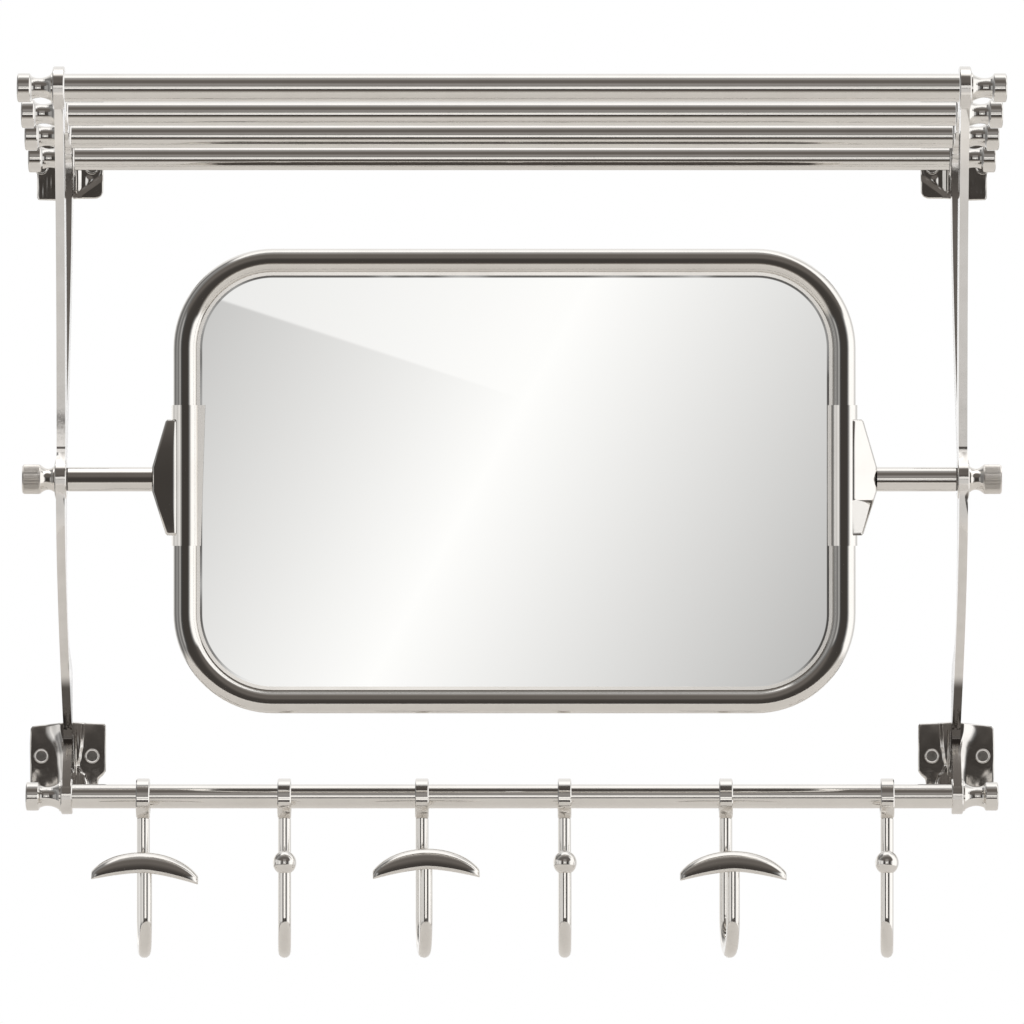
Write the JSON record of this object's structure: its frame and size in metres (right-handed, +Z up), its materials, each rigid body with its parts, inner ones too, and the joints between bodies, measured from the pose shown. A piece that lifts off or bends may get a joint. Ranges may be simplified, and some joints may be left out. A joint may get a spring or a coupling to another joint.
{
  "type": "wall rack with tilting mirror and hooks",
  "caption": "Wall rack with a shelf of tubes, a framed mirror that tilts between two cast brackets, and a rail of sliding ball and crescent hooks.",
  "frame": {"origin": "middle of the eight wall screws, on the wall's plane", "axes": "X runs to the right along the tubes, Y runs into the wall, Z runs up"},
  "size_m": [0.7794, 0.249, 0.7056],
  "materials": {
    "cast_nickel": "polished nickel over a casting, slightly wavy",
    "tube_nickel": "polished nickel over drawn tube",
    "knurled_nickel": "satin nickel with a straight knurl",
    "plain_steel": "turned steel, not polished",
    "silvered_glass": "silvered float glass",
    "back_board": "matt dark board",
    "fibre": "dark fibre washer"
  },
  "bodies": {
    "rack": {"left_bracket": "cast_nickel", "right_bracket": "cast_nickel", "wall_screws": "plain_steel", "shelf_tube_1": "tube_nickel", "shelf_tube_2": "tube_nickel", "shelf_tube_3": "tube_nickel", "shelf_tube_4": "tube_nickel", "hook_rail": "tube_nickel", "shelf_plugs_1": "plain_steel", "shelf_plugs_2": "plain_steel", "shelf_plugs_3": "plain_steel", "shelf_plugs_4": "plain_steel", "rail_plugs": "plain_steel", "left_finial_1": "cast_nickel", "left_finial_2": "cast_nickel", "left_finial_3": "cast_nickel", "left_finial_4": "cast_nickel", "left_rail_finial": "cast_nickel", "right_finial_1": "cast_nickel", "right_finial_2": "cast_nickel", "right_finial_3": "cast_nickel", "right_finial_4": "cast_nickel", "right_rail_finial": "cast_nickel"},
    "mirror": {"upper_frame_tube": "tube_nickel", "lower_frame_tube": "tube_nickel", "glass_rim": "tube_nickel", "mirror_glass": "silvered_glass", "back_panel": "back_board", "back_clips": "plain_steel", "left_sleeve": "tube_nickel", "right_sleeve": "tube_nickel", "left_wing": "cast_nickel", "right_wing": "cast_nickel", "left_shaft": "tube_nickel", "right_shaft": "tube_nickel", "shaft_plugs": "plain_steel", "pivot_washers": "fibre"},
    "knob_left": {"left_knob": "knurled_nickel"},
    "knob_right": {"right_knob": "knurled_nickel"},
    "slider_1": {"ring_1": "tube_nickel"},
    "hook_1": {"hook_rod_1": "tube_nickel", "crescent_1": "cast_nickel"},
    "slider_2": {"ring_2": "tube_nickel"},
    "hook_2": {"hook_rod_2": "tube_nickel", "ball_2": "cast_nickel"},
    "slider_3": {"ring_3": "tube_nickel"},
    "hook_3": {"hook_rod_3": "tube_nickel", "crescent_3": "cast_nickel"},
    "slider_4": {"ring_4": "tube_nickel"},
    "hook_4": {"hook_rod_4": "tube_nickel", "ball_4": "cast_nickel"},
    "slider_5": {"ring_5": "tube_nickel"},
    "hook_5": {"hook_rod_5": "tube_nickel", "crescent_5": "cast_nickel"},
    "slider_6": {"ring_6": "tube_nickel"},
    "hook_6": {"hook_rod_6": "tube_nickel", "ball_6": "cast_nickel"}
  },
  "joints": [
    {"name": "mirror_tilt", "type": "hinge", "parent": "rack", "child": "mirror", "pos_m": [0, -0.168, -0.0149], "axis": [-1, 0, 0], "range_deg": [-60, 60]},
    {"name": "left_knob_turn", "type": "hinge", "parent": "mirror", "child": "knob_left", "pos_m": [-0.3606, -0.168, -0.0149], "axis": [-1, 0, 0], "range_deg": [0, 720]},
    {"name": "right_knob_turn", "type": "hinge", "parent": "mirror", "child": "knob_right", "pos_m": [0.3606, -0.168, -0.0149], "axis": [1, 0, 0], "range_deg": [0, 720]},
    {"name": "hook_1_slide", "type": "slide", "parent": "rack", "child": "slider_1", "axis": [1, 0, 0], "range_m": [-0.04, 0.04]},
    {"name": "hook_1_swing", "type": "hinge", "parent": "slider_1", "child": "hook_1", "pos_m": [-0.295, -0.077, -0.27], "axis": [-1, 0, 0], "range_deg": [-35, 75]},
    {"name": "hook_2_slide", "type": "slide", "parent": "rack", "child": "slider_2", "axis": [1, 0, 0], "range_m": [-0.04, 0.04]},
    {"name": "hook_2_swing", "type": "hinge", "parent": "slider_2", "child": "hook_2", "pos_m": [-0.182, -0.077, -0.27], "axis": [-1, 0, 0], "range_deg": [-35, 75]},
    {"name": "hook_3_slide", "type": "slide", "parent": "rack", "child": "slider_3", "axis": [1, 0, 0], "range_m": [-0.04, 0.04]},
    {"name": "hook_3_swing", "type": "hinge", "parent": "slider_3", "child": "hook_3", "pos_m": [-0.072, -0.077, -0.27], "axis": [-1, 0, 0], "range_deg": [-35, 75]},
    {"name": "hook_4_slide", "type": "slide", "parent": "rack", "child": "slider_4", "axis": [1, 0, 0], "range_m": [-0.04, 0.04]},
    {"name": "hook_4_swing", "type": "hinge", "parent": "slider_4", "child": "hook_4", "pos_m": [0.042, -0.077, -0.27], "axis": [-1, 0, 0], "range_deg": [-35, 75]},
    {"name": "hook_5_slide", "type": "slide", "parent": "rack", "child": "slider_5", "axis": [1, 0, 0], "range_m": [-0.04, 0.04]},
    {"name": "hook_5_swing", "type": "hinge", "parent": "slider_5", "child": "hook_5", "pos_m": [0.171, -0.077, -0.27], "axis": [-1, 0, 0], "range_deg": [-35, 75]},
    {"name": "hook_6_slide", "type": "slide", "parent": "rack", "child": "slider_6", "axis": [1, 0, 0], "range_m": [-0.04, 0.04]},
    {"name": "hook_6_swing", "type": "hinge", "parent": "slider_6", "child": "hook_6", "pos_m": [0.3, -0.077, -0.27], "axis": [-1, 0, 0], "range_deg": [-35, 75]}
  ]
}
